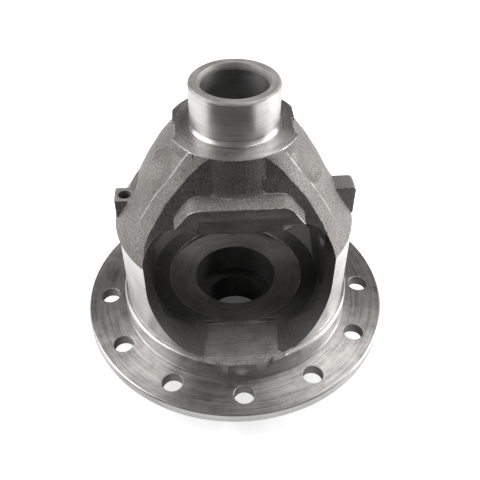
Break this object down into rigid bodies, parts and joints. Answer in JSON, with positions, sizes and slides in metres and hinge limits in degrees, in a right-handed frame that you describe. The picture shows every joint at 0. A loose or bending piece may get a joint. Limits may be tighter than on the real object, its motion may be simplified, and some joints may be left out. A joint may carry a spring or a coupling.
{
  "type": "differential carrier case",
  "caption": "Cast open differential case: ring gear flange, two bearing journals, gear windows and a cross pin bore.",
  "frame": {"origin": "centre of the lower bearing journal's end face, on which the case stands", "axes": "+Z along the turning axis towards the upper journal; +X along the cross pin bore, away from the lock bolt pad; the two windows face -Y and +Y"},
  "size_m": [0.181, 0.181, 0.1715],
  "materials": {
    "cast_iron": "sand-cast skin with turned bright faces"
  },
  "bodies": {
    "root": {"carrier_case": "cast_iron"}
  },
  "joints": []
}
